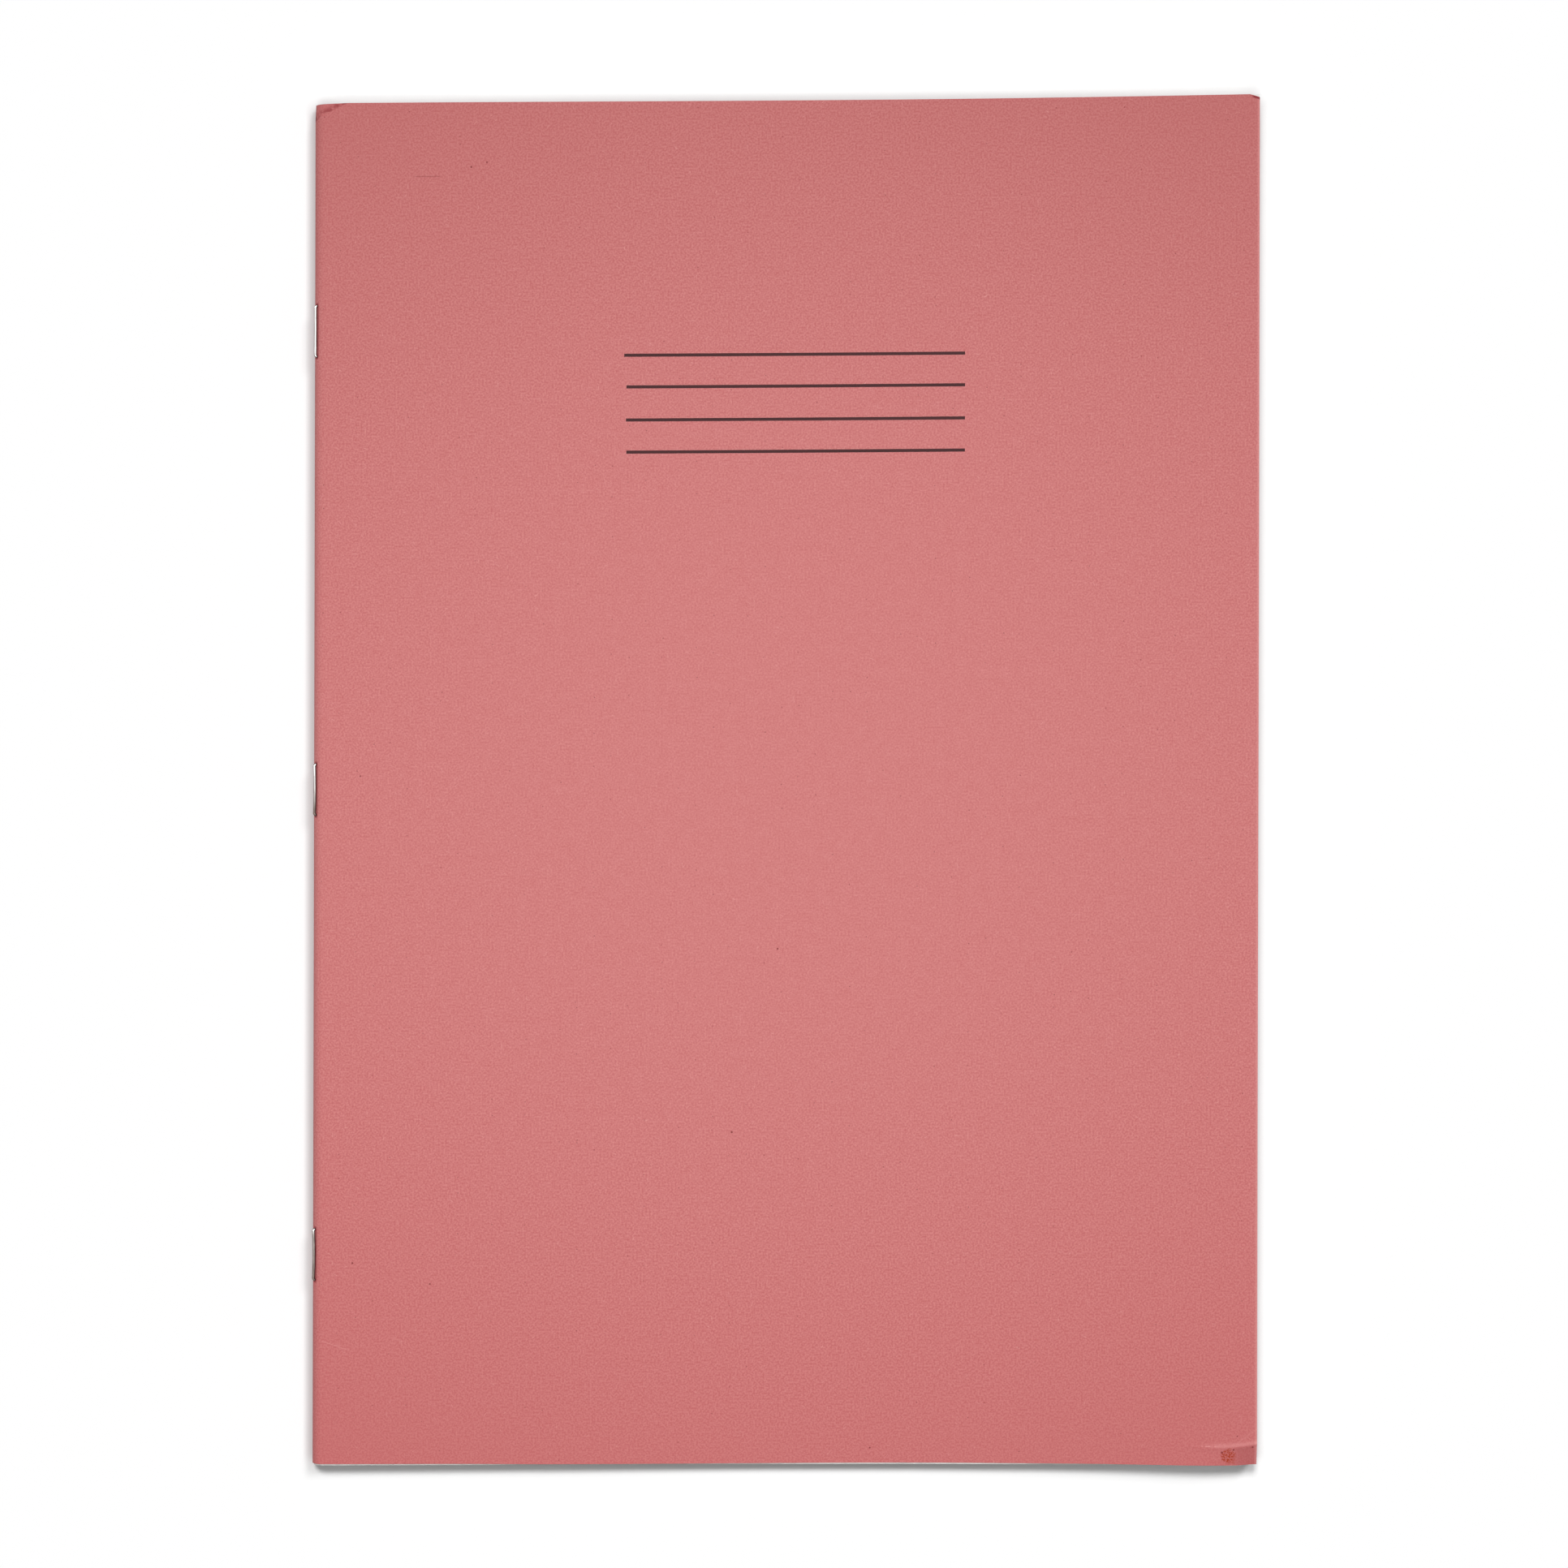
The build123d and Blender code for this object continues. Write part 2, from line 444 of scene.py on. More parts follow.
# %% Stain, scratch and specks
STAIN_PLACE = (197.0, 2.0 - HALF_MM, 0)
STAIN_EDGE = (1.9, 1.2)
STAIN_RAGGED = 1.6
STAIN_DOTS = 2.7  # scale of the dots that it broke up into
STAIN_DOT_EDGE = (0.47, 0.56)
STAIN_BETWEEN = 0.35  # what is left of it between them
STAIN_STRENGTH = 0.75
SCRATCH_DEPTH = 16.1  # below the head
SCRATCH_WIDTH = (0.16, 0.05)
SCRATCH_RUN = (19, 20.5, 24.5, 26)
SINGLE_STRENGTH = 0.8
SPECKS = [  # run, height and radius
    (32.0, 134.4, 0.30), (35.4, 135.4, 0.26), (89.2, -76.1, 0.30), (99.1, -36.2, 0.28),
    (23.5, -108.9, 0.25), (119.4, -145.1, 0.26), (8.1, 1.8, 0.24), (6.6, -104.3, 0.28),
    (195.6, -145.6, 0.30), (198.1, -145.0, 0.28), (202.2, -144.4, 0.26), (198.9, -142.0, 0.20)]


def rubbed_stain(shading, place, patchy):
    away = shading.distance(place, STAIN_PLACE) + STAIN_RAGGED * (patchy - 0.5)
    dots = shading.noise(place, STAIN_DOTS).rise(*STAIN_DOT_EDGE)
    return STAIN_STRENGTH * away.rise(*STAIN_EDGE) * (STAIN_BETWEEN + 0.95 * dots)


def single_specks(shading, place, run, head):
    """Dark specks that stand alone, and the faint scratch."""
    specks = 0.45 * (head - SCRATCH_DEPTH).near(*SCRATCH_WIDTH) * run.within(*SCRATCH_RUN)
    for speck_run, speck_up, radius in SPECKS:
        specks = specks + shading.distance(place, (speck_run, speck_up, 0)).rise(radius, 0.5 * radius)
    return SINGLE_STRENGTH * specks


# %% Deep shade
CROWN_RUN = -NOSE_MM * (math.pi / 2 - STITCH_ANGLE - GAPE)  # where the staples' crowns lie on the blank
CROWN_SHADE = 0.36  # how far in front of a crown its dark line lies
CROWN_SHADE_WIDTH = (0.32, 0.10)
CROWN_SHADE_END = (0.4, -0.1)  # beyond the legs
HOLE_SHADE = 0.10  # how far in front of a crown the middle of its holes lies
HOLE_SHADE_WIDTH = (0.52, 0.28)
HOLE_SHADE_ENDS = (-0.2, 0, 0.5, 0.75)  # beyond the legs
TIP_FOLD_FROM = Vector((REACH_MM - 1.9, HALF_MM - 0.06))  # the crease across the other head corner
TIP_FOLD_TO = Vector((REACH_MM - 0.05, HALF_MM - 0.66))
TIP_FOLD_ALONG = (TIP_FOLD_TO - TIP_FOLD_FROM).normalized()
TIP_FOLD_OUT = Vector((-TIP_FOLD_ALONG.y, TIP_FOLD_ALONG.x))
TIP_SHADE = (-0.62, -0.34)  # beyond that crease
TIP_SHADE_RUN = (TIP_FOLD_FROM.x, TIP_FOLD_FROM.x + 0.7)
SHADE_STRENGTH = 0.85


def deep_shade(run, up):
    """The dark red of the folded tip, of the line beside each crown and of the holes at its ends."""
    beyond = (run - TIP_FOLD_FROM.x) * TIP_FOLD_OUT.x + (up - TIP_FOLD_FROM.y) * TIP_FOLD_OUT.y
    shaded = beyond.rise(*TIP_SHADE) * run.rise(*TIP_SHADE_RUN)
    beside_crown = (run - CROWN_RUN - CROWN_SHADE).near(*CROWN_SHADE_WIDTH)
    at_holes = (run - CROWN_RUN - HOLE_SHADE).near(*HOLE_SHADE_WIDTH)
    for low_leg, high_leg in STAPLE_LEGS:
        middle, half = (low_leg + high_leg) / 2 / MM, (high_leg - low_leg) / 2 / MM
        beyond_leg = abs(up - middle) - half
        shaded = shaded + 0.8 * beyond_leg.rise(*CROWN_SHADE_END) * beside_crown
        shaded = shaded + 0.8 * beyond_leg.within(*HOLE_SHADE_ENDS) * at_holes
    return SHADE_STRENGTH * shaded


# %% [markdown]
# ### The finish
# The tone is one number that mixes a fuller and a paler pink: fine grain and clouds in the pulp. The cover
# is painted a little redder and darker towards its edges, as painted shade where the light falls off, and its
# grain shows more there. Marks are laid over it one by one, on the outside only, and the same grain feeds the
# bump.

# %% Card finish
CARD_FULL = shade(198, 107, 107)
CARD_PALE = shade(219, 142, 140)
# painted shade: the darker, redder colours of the cover's head and tail, where the light falls off
EDGE_SHADE_HEAD = shade(178, 97, 96)
EDGE_SHADE_TAIL = shade(191, 100, 100)
# painted shade of the bent dog-ear and the crushed corner
FOLD_SHADE = shade(150, 66, 68)
# pale of creased card, and painted highlight on the dog-ear's ridge and spur and along the fore-edge
RUBBED_AND_HIGHLIT = shade(226, 156, 154)
STAINED = shade(166, 56, 26)
CREVICE = shade(132, 28, 42)
GRAIN_SCALE = 2.5
GRAIN_DETAIL = 3.0
GRAIN_CONTRAST = 1.55
GRAIN_AT_EDGES = 6.0  # how much more the grain shows towards the edges, under the painted shade
CLOUD_SCALE = 0.4
CLOUD_CONTRAST = 0.3
PATCH_SCALE = 0.9  # of the pattern that breaks the marks up
LEAST_SHADED = 3.0  # height of the least shaded place
EDGE_SHADE_ENDS = 0.53
EDGE_SHADE_SIDES = 0.16
TAIL_TO_HEAD = (-60, 130)
CREASE_STRENGTH = 0.7
# painted highlight along the fore-edge
FORE_EDGE_HIGHLIGHT = (REACH_MM - 0.7, REACH_MM - 0.1)
FORE_EDGE_STRENGTH = 0.45


def card_finish():
    shading = Shading(bpy.data.materials.new("manila_card"))
    place = shading.attribute("flat_mm", "Vector")
    run = shading.node("ShaderNodeSeparateXYZ", {}, {0: place})
    up = run.out("Y")
    outside = 1 - run.out("Z")
    head, tail = HALF_MM - up, HALF_MM + up

    grain = shading.noise(place, GRAIN_SCALE, GRAIN_DETAIL)
    clouds = shading.noise(place, CLOUD_SCALE)
    along, across = (up - LEAST_SHADED) * (1 / HALF_MM), (run - REACH_MM / 2) * (2 / REACH_MM)
    edge_shade = EDGE_SHADE_ENDS * along * along + EDGE_SHADE_SIDES * across * across * run.rise(-3, 0)
    tone = 0.5 + (GRAIN_CONTRAST + GRAIN_AT_EDGES * edge_shade) * (grain - 0.5) + CLOUD_CONTRAST * (clouds - 0.5)
    colour = shading.mix(tone, CARD_FULL, CARD_PALE)
    # painted shade: darker and redder towards the edges, where the light falls off
    colour = shading.mix(edge_shade, colour, shading.mix(up.rise(*TAIL_TO_HEAD), EDGE_SHADE_TAIL, EDGE_SHADE_HEAD))

    fibres = pulp_fibres(shading, place)
    specks = lucky_cells(shading, place, SPECK_SCALE, SPECK_EDGE, SPECK_LUCK)
    colour = shading.mix(FIBRE_STRENGTH * fibres, colour, PALE_FIBRE)
    colour = shading.mix(SPECK_STRENGTH * specks, colour, DARK_SPECK)

    patchy = shading.noise(place, PATCH_SCALE)
    # pale creases, and painted highlights on the dog-ear's ridge and spur and along the fore-edge
    rubbed_and_highlit = CREASE_STRENGTH * pale_creases_and_highlights(run, tail, patchy) + FORE_EDGE_STRENGTH * run.rise(*FORE_EDGE_HIGHLIGHT)
    marks = (
        (fold_shades(run, head, tail, patchy), FOLD_SHADE),
        (rubbed_stain(shading, place, patchy), STAINED),
        (rubbed_and_highlit, RUBBED_AND_HIGHLIT),
        (single_specks(shading, place, run, head), DARK_SPECK),
        (deep_shade(run, up), CREVICE),
    )
    for amount, mark in marks:
        colour = shading.mix(amount * outside, colour, mark)

    relief = 0.02 * grain + 0.05 * clouds + 0.012 * fibres
    return shading.skin({"Base Color": colour, "Roughness": 0.74 + 0.2 * grain, "Specular IOR Level": 0.3,
                         "Normal": shading.bump(relief, 0.6)})


manila = card_finish()
print(manila.name, len(manila.node_tree.nodes), "nodes")

# %% Cut edge of the card
CUT_FULL = shade(196, 112, 112)
CUT_PALE = shade(228, 164, 160)
FRAY_SCALE = 3.0


def cut_edge_finish():
    """The guillotined edge shows paler pulp with loose fibres along it."""
    shading = Shading(bpy.data.materials.new("card_cut_edge"))
    fray = shading.noise(shading.attribute("flat_mm", "Vector"), FRAY_SCALE)
    colour = shading.mix(fray.rise(0.3, 0.7), CUT_FULL, CUT_PALE)
    return shading.skin({"Base Color": colour, "Roughness": 0.9, "Specular IOR Level": 0.2,
                         "Normal": shading.bump(0.08 * fray, 0.7)})


cut_edge = cut_edge_finish()
print(cut_edge.name)

# %% [markdown]
# ## Folding a blank
# A bookbinder cuts a blank flat and folds it once, and so does this lesson. A grid is made by one operator,
# and its lines slide to where the shape needs them. Each point is then carried to its place on a fold: along
# the back leaf, round the spine, and along the front leaf. Loose leaves and rings could be modelled one by
# one, but parts that all follow the same rule meet edge to edge wherever the blank is cut apart.

# %% Blank and fold
def grid_lines(places, widest):
    """The given places in order, with even steps added where two of them stand further apart than widest."""
    places = sorted(set(places))
    lines = places[:1]
    for low, high in zip(places, places[1:]):
        count = math.ceil((high - low) / widest - 1e-6)
        lines += [low + (high - low) * step / count for step in range(1, count + 1)]
    return lines


def make_blank(columns, rows):
    """A flat blank with grid lines at those places, in millimetres."""
    bm = bmesh.new()
    across, up = len(columns) - 1, len(rows) - 1
    bmesh.ops.create_grid(bm, x_segments=across, y_segments=up, size=0.5)
    for vert in bm.verts:
        vert.co.x = columns[round((vert.co.x + 0.5) * across)]
        vert.co.y = rows[round((vert.co.y + 0.5) * up)]
    return bm


def keep_flat_places(bm):
    """Stores each point's place on the flat blank, for the finishes to read."""
    layer = bm.verts.layers.float_vector.new("flat_mm")
    for vert in bm.verts:
        vert[layer] = vert.co
    return layer


def fold_length(radius, tilt):
    return radius * (math.pi - tilt)


def folded(run, radius, tilt):
    """Where a point of the blank comes to lie from the fold axis, in metres; run is 0 before the fold."""
    arc = fold_length(radius, tilt)
    along = Vector((math.cos(tilt), 0, math.sin(tilt)))
    if run >= 0:
        return run * along + radius * Vector((-along.z, 0, along.x))
    if run > -arc:
        turn = math.pi / 2 + tilt - run / radius
        return Vector((radius * math.cos(turn), 0, radius * math.sin(turn)))
    return Vector((-run - arc, 0, -radius))


print("spine fold is", round(fold_length(SPINE_RADIUS, GAPE) / MM, 2), "mm of card")

# %% [markdown]
# ### How the book has settled
# The stack was trimmed a little out of square, it lies in shallow waves, and two corners have been bent. Card
# and pages lie on each other, so whatever presses on the cover squeezes every leaf below it: one function
# scales the height of all points alike, and the leaves keep their order. The bent-over wire holds the two
# halves apart at the fold, and that gap closes a few centimetres away from it.

# %% How far the front has sunk, in millimetres
HOLLOW = 2.0  # how deep the front sags between the thick spine and the raised fore-edge
HOLLOW_SHIFT = 1.4  # above 1 it is deepest nearer the fore-edge
EAR_SLOPE = 0.20  # how steeply the dog-ear falls below its crease
EAR_BEND = (190, 203)
RIDGE_HEIGHT = 0.08  # how far the crease itself stands up
RIDGE_WIDTH = 0.5
RIDGE_BEND = (184, 192)
CRUSH_SLOPE = 0.40
WAVE_HEIGHT = 0.15
WAVE_STEP = 30  # of height to a radian
WAVE_START = 0.6
WAVE_RUN = (20, 200)


def ease(value, low, high):
    """The same soft step as in the finishes."""
    part = min(max((value - low) / (high - low), 0.0), 1.0)
    return part * part * (3 - 2 * part)


def sunk(run, up):
    """How far the front lies below its flat place; run is measured from the fold axis."""
    reached = min(max(run / REACH_MM, 0.0), 1.0)
    hollow = HOLLOW * math.sin(math.pi * reached ** HOLLOW_SHIFT)
    below = below_crease(run, HALF_MM + up)
    dog_ear = EAR_SLOPE * ease(run, *EAR_BEND) * max(0.0, below)
    ridge = RIDGE_HEIGHT * ease(run, *RIDGE_BEND) * math.exp(-((below / RIDGE_WIDTH) ** 2))
    crush = CRUSH_SLOPE * max(0.0, inside_crush(run, HALF_MM - up))
    wave = WAVE_HEIGHT * math.sin(up / WAVE_STEP + WAVE_START) * ease(run, *WAVE_RUN)
    return hollow + dog_ear - ridge + crush - wave


# %% Settling
SKEW = 0.0070  # how far out of square the head and tail are trimmed
BLUNT_CORNER = 0.25 * MM  # how far the dog-eared tail corner is pushed back
BLUNT_ACROSS = 5  # how far that reaches from the fore-edge
BLUNT_UP = 6  # and from the tail
WIRE_GAP = 2 * (FOLD_AXIS.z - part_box(f"{sheets[-1]}_back_leaf")[1].z) / MM  # between the innermost leaves
SHUT_SHARE = 0.95  # how much of that gap closes
SHUT_RUN = (2, 30)  # where it starts to close, and where it is shut


def settle(bm):
    """Moves a folded piece from the square, flat book to the trimmed and handled one."""
    for vert in bm.verts:
        run, up = vert.co.x / MM, vert.co.y / MM
        height = 2 * NOSE_MM + max(0.0, run) * math.sin(GAPE)
        shut = SHUT_SHARE * WIRE_GAP * ease(run, *SHUT_RUN)
        above = vert.co.z / MM + NOSE_MM - (shut if vert.co.z > 0 else 0.0)
        vert.co.z = above * MM * (height - sunk(run, up)) / (height - shut)
        blunt = ease(run, REACH_MM - BLUNT_ACROSS, REACH_MM) * ease(up, BLUNT_UP - HALF_MM, -HALF_MM)
        vert.co.y += SKEW * vert.co.x + BLUNT_CORNER * blunt
        vert.co.x += FOLD_AXIS.x


print("gap at the fold", round(WIRE_GAP, 2), "mm, sag", HOLLOW, "mm")

# %% [markdown]
# ## Cover
# The card is one piece, but it bends at two places: round the spine when the book opens, and just in front of
# the spine when only the cover is turned back. So the card is made as two skins that meet at the top of the
# fold: the back with the spine, and the front board. Grid lines stand close together only where the card is
# bent, and the rest is plain.

# %% Rows of the cover
PLAIN_STEP = 9.0  # the widest step between two lines
WORN_STEP = 0.4
WORN_TAIL = 8.0  # how far up from the tail the worn rows reach
WORN_HEAD = 4.0  # how far down from the head
TIP_STEP = 0.1
TIP_DEPTH = 1.2
GROOVE_STEPS = (-1.2, -0.8, -0.5, -0.25, 0, 0.25, 0.5, 0.8, 1.2)  # rows about a groove's ends
groove_rows = [leg / MM + step for legs in STAPLE_LEGS for leg in legs for step in GROOVE_STEPS]
tail_rows = grid_lines([-HALF_MM, WORN_TAIL - HALF_MM], WORN_STEP)
head_rows = grid_lines([HALF_MM - WORN_HEAD, HALF_MM - TIP_DEPTH], WORN_STEP)
tip_rows = grid_lines([HALF_MM - TIP_DEPTH, HALF_MM], TIP_STEP)
cover_rows = grid_lines(tail_rows + head_rows + tip_rows + groove_rows, PLAIN_STEP)

# %% Columns of the cover
ARC_MM = fold_length(SPINE_RADIUS, GAPE) / MM
SPINE_STEPS = 36
HINGE_BEND = 1.5  # width of the strip that bends when the cover is turned back
BEND_STEP = 0.15
CORNER_STEP = 0.5
CRUSH_RUN = 6.0  # how far the crushed corner needs close columns
EAR_START = 187.0
TIP_WIDTH = 2.4
hinge_columns = grid_lines([0, HINGE_BEND], BEND_STEP)
crush_columns = grid_lines([HINGE_BEND, CRUSH_RUN], CORNER_STEP)
ear_columns = grid_lines([EAR_START, REACH_MM - TIP_WIDTH], CORNER_STEP)
tip_columns = grid_lines([REACH_MM - TIP_WIDTH, REACH_MM], BEND_STEP)
front_columns = grid_lines(hinge_columns + crush_columns + ear_columns + tip_columns, PLAIN_STEP)
back_columns = grid_lines([-ARC_MM - REACH_MM, -ARC_MM], PLAIN_STEP)
spine_columns = grid_lines([-ARC_MM, 0], ARC_MM / SPINE_STEPS)
print(len(front_columns), "columns in front,", len(cover_rows), "rows")

# %% [markdown]
# The tail of the card has shrunk back from the pages by a few tenths of a millimetre, so that a thin white
# line of paper shows there. The head corner at the fore-edge is rounded, and its very tip is folded under.

# %% Trim of the cover
TIP_FOLD_ANGLE = math.radians(72)
CORNER_ROUND = 0.15
TAIL_SHRINK = 0.22
SPINE_SHRINK = 0.20  # how much more it is at the spine
SPINE_SIDE = (55, 25)
MIDDLE_SHRINK = 0.22  # how much more it is about the middle
MIDDLE_RUN = 128
MIDDLE_WIDTH = 40
EAR_SHRINK = 0.15  # how much less it is by the dog-ear
EAR_SIDE = (170, 188)


def shrunk_tail(run):
    """How far the card stands back from the pages' tail, in millimetres."""
    by_spine = SPINE_SHRINK * ease(run, *SPINE_SIDE)
    middle = MIDDLE_SHRINK * math.exp(-(((run - MIDDLE_RUN) / MIDDLE_WIDTH) ** 2))
    return TAIL_SHRINK + by_spine + middle - EAR_SHRINK * ease(run, *EAR_SIDE)


def trim_cover(bm):
    """Shapes the blank's edges in the flat."""
    for vert in bm.verts:
        run, up = vert.co.x, vert.co.y
        from_fore_edge, from_head = REACH_MM - run, HALF_MM - up
        if max(from_fore_edge, from_head) < CORNER_ROUND:
            corner = Vector((CORNER_ROUND - from_fore_edge, CORNER_ROUND - from_head))
            if corner.length > 0:
                corner *= max(corner) / corner.length
            vert.co.x = REACH_MM - CORNER_ROUND + corner.x
            vert.co.y = HALF_MM - CORNER_ROUND + corner.y
        vert.co.y += shrunk_tail(run) * ease(HALF_MM + up, WORN_TAIL, 0)


def fold_tip(bm, layer):
    """Bends the very tip of the head corner down along a short crease."""
    for vert in bm.verts:
        beyond = (vert[layer].xy - TIP_FOLD_FROM).dot(TIP_FOLD_OUT)
        if beyond > 0:
            vert.co.xy -= TIP_FOLD_OUT * beyond * (1 - math.cos(TIP_FOLD_ANGLE)) * MM
            vert.co.z -= beyond * math.sin(TIP_FOLD_ANGLE) * MM


# %% [markdown]
# ### Thickness
# The blank is the outer face, so the solid wall goes inwards from it. The rim that this makes is the cut edge
# and gets its own finish. The staples were driven hard, so each crown has pressed a groove into the card.

# %% Make the cover
GROOVE_DEPTH = 0.12 * MM
GROOVE_RADIUS = 0.55 * MM


def thicken(bm, layer, thickness):
    """Adds the inner wall and the rim; the rim takes the second finish."""
    faces = bm.faces[:]
    bm.normal_update()
    wall = bmesh.ops.solidify(bm, geom=faces, thickness=thickness)["geom"]
    for part in wall:
        if isinstance(part, bmesh.types.BMVert):
            part[layer].z = 1
    walls = set(faces).union(part for part in wall if isinstance(part, bmesh.types.BMFace))
    for face in bm.faces:
        face.material_index = 0 if face in walls else 1


def press_grooves(bm, layer):
    """Presses the outer face in along each staple's crown."""
    for vert in bm.verts:
        if vert[layer].z == 0:
            for low_leg, high_leg in STAPLE_LEGS:
                nearest = min(max(vert.co.y, low_leg), high_leg)
                away = (vert.co - STITCH_OUT * SPINE_RADIUS - Vector((0, nearest, 0))).length / GROOVE_RADIUS
                vert.co -= STITCH_OUT * GROOVE_DEPTH * math.exp(-away * away)


def make_card(name, columns):
    bm = make_blank(columns, cover_rows)
    layer = keep_flat_places(bm)
    trim_cover(bm)
    for vert in bm.verts:
        vert.co = folded(vert.co.x * MM, SPINE_RADIUS, GAPE) + Vector((0, vert.co.y * MM, 0))
    fold_tip(bm, layer)
    thicken(bm, layer, CARD)
    press_grooves(bm, layer)
    settle(bm)
    return make_piece(name, bm, manila, cut_edge)


front_board = make_card("cover_front_board", front_columns)
back_and_spine = make_card("cover_back_and_spine", back_columns[:-1] + spine_columns)
for piece in (front_board, back_and_spine):
    print(piece.name, len(piece.data.polygons), "faces")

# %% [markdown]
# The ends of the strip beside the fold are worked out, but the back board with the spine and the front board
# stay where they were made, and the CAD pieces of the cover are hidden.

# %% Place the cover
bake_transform(back_and_spine)
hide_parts("back_cover", "cover_spine")

strip_start = FOLD_AXIS + folded(0, SPINE_RADIUS, GAPE)
strip_end = FOLD_AXIS + folded(HINGE_BEND * MM, SPINE_RADIUS, GAPE)
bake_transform(front_board)
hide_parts("front_cover")

# %% [markdown]
# ## Title rules
# Four plain rules for a name and a subject are printed on the front. Printed ink has no height worth making,
# but a pattern would blur when it is baked, so each rule is a strip of ink a hundredth of a millimetre proud
# of the card, laid through the same fold and the same settling as the card below it.

# %% Ink finish
INK_SCALE = 3.5  # of the paper's roughness, as the ink shows it


def ink_finish(name, colour, worn_colour):
    """Printing ink with the slight unevenness of a rough paper below it."""
    shading = Shading(bpy.data.materials.new(name))
    wear = shading.noise(shading.attribute("flat_mm", "Vector"), INK_SCALE)
    blotted = shading.mix(wear.rise(0.45, 0.8), colour, worn_colour)
    return shading.skin({"Base Color": blotted, "Roughness": 0.55 + 0.3 * wear, "Specular IOR Level": 0.3})


title_ink = ink_finish("title_ink", shade(54, 20, 22), shade(76, 32, 34))
print(title_ink.name)

# %% Print the rules
RULE_WIDTH = 0.68
RULES = ((55.3, 65.4), (62.2, 65.9), (69.4, 65.8), (76.4, 65.9))  # below the head, start on the run
RULE_END = 139.6
RULE_STEP = 4.0
INK_PROUD = 0.012 * MM
INK_DEPTH = 0.03 * MM

rule_bands = bmesh.new()
for below, start in RULES:
    middle = HALF_MM - below
    edges = [middle - RULE_WIDTH / 2, middle + RULE_WIDTH / 2]
    bm = make_blank(grid_lines([start, RULE_END], RULE_STEP), edges)
    layer = keep_flat_places(bm)
    for vert in bm.verts:
        vert.co = folded(vert.co.x * MM, SPINE_RADIUS + INK_PROUD, GAPE) + Vector((0, vert.co.y * MM, 0))
    thicken(bm, layer, INK_DEPTH)
    settle(bm)
    for face in bm.faces:
        face.material_index = 0
    strip = bpy.data.meshes.new("strip")
    bm.to_mesh(strip)
    bm.free()
    rule_bands.from_mesh(strip)
    bpy.data.meshes.remove(strip)
title_rules = make_piece("title_rules", rule_bands, title_ink)
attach(title_rules, "front_cover")
print(title_rules.name, len(title_rules.data.polygons), "faces")

# %% [markdown]
# ## Pages
# The pages are uncoated white paper with a wide grey feint and no margin. Fine lines would also blur in a
# bake, so the sheet's grid has two lines at each feint, and the narrow faces between them take the ink.

# %% Paper and its ink
PAPER_DULL = shade(229, 228, 224)
PAPER_WHITE = shade(241, 240, 237)
PULP_SCALE = 0.6
PULP_DETAIL = 4.0
TOOTH_SCALE = 4.0


def paper_finish():
    shading = Shading(bpy.data.materials.new("page_paper"))
    place = shading.attribute("flat_mm", "Vector")
    pulp = shading.noise(place, PULP_SCALE, PULP_DETAIL)
    tooth = shading.noise(place, TOOTH_SCALE)
    colour = shading.mix(pulp.rise(0.25, 0.75), PAPER_DULL, PAPER_WHITE)
    return shading.skin({"Base Color": colour, "Roughness": 0.8 + 0.15 * tooth, "Specular IOR Level": 0.25,
                         "Normal": shading.bump(0.02 * tooth + 0.03 * pulp, 0.5)})


page_paper = paper_finish()
feint_ink = ink_finish("feint_ink", shade(128, 130, 136), shade(168, 170, 174))
print(page_paper.name, feint_ink.name)

# %% Rows of a page
FEINT_PITCH = 12.0
FEINT_FIRST = 25.0  # below the head
FEINT_LAST = 277.0
FEINT_WIDTH = 0.25
SHORT_TAIL = 0.13 * MM  # how far the pages were trimmed back at the tail
SHORT_TAIL_REACH = 6.0  # and how far up the page that is felt
TAIL_STEP = 1.0
HEAD_STEP = 0.8
PAGE_STEP = 12.0
feints = [HALF_MM - below for below in grid_lines([FEINT_FIRST, FEINT_LAST], FEINT_PITCH)]
feint_edges = [feint + side * FEINT_WIDTH / 2 for feint in feints for side in (-1, 1)]
page_tail = grid_lines([-HALF_MM, SHORT_TAIL_REACH - HALF_MM], TAIL_STEP)
page_head = grid_lines([HALF_MM - WORN_HEAD, HALF_MM], HEAD_STEP)
page_rows = grid_lines(feint_edges + page_tail + page_head, PAGE_STEP)
print(len(feints), "feints on a page,", len(page_rows), "rows")

# %% Shape of a sheet
LEAF_WAVE = 0.05 * MM
LEAF_WAVE_STEP = 22 * MM  # of height to a radian
LEAF_WAVE_PLAY = 3  # radians
TRIM_PLAY = 0.06 * MM


def make_page_part(name, columns, radius, paper, tilt, play):
    """One leaf or fold strip of a sheet; radius is that of the fold's outer face."""
    longer, higher, phase = play
    bm = make_blank(columns, page_rows)
    layer = keep_flat_places(bm)
    for vert in bm.verts:
        run, up = vert.co.x * MM, vert.co.y * MM
        far = max(0.0, run / REACH)
        vert.co = folded(run, radius, tilt) + Vector((0, up, 0))
        vert.co.x += far * longer * TRIM_PLAY
        vert.co.y += higher * TRIM_PLAY
        vert.co.y += SHORT_TAIL * ease(up / MM, SHORT_TAIL_REACH - HALF_MM, -HALF_MM)
        vert.co.z += far * LEAF_WAVE * math.sin(up / LEAF_WAVE_STEP + LEAF_WAVE_PLAY * phase)
    thicken(bm, layer, paper)
    for face in bm.faces:
        height = face.calc_center_median().y / MM - higher * TRIM_PLAY / MM
        on_feint = min(abs(height - feint) for feint in feints) < FEINT_WIDTH / 3
        face.material_index = int(on_feint and face.material_index == 0)
    settle(bm)
    return make_piece(name, bm, page_paper, feint_ink)
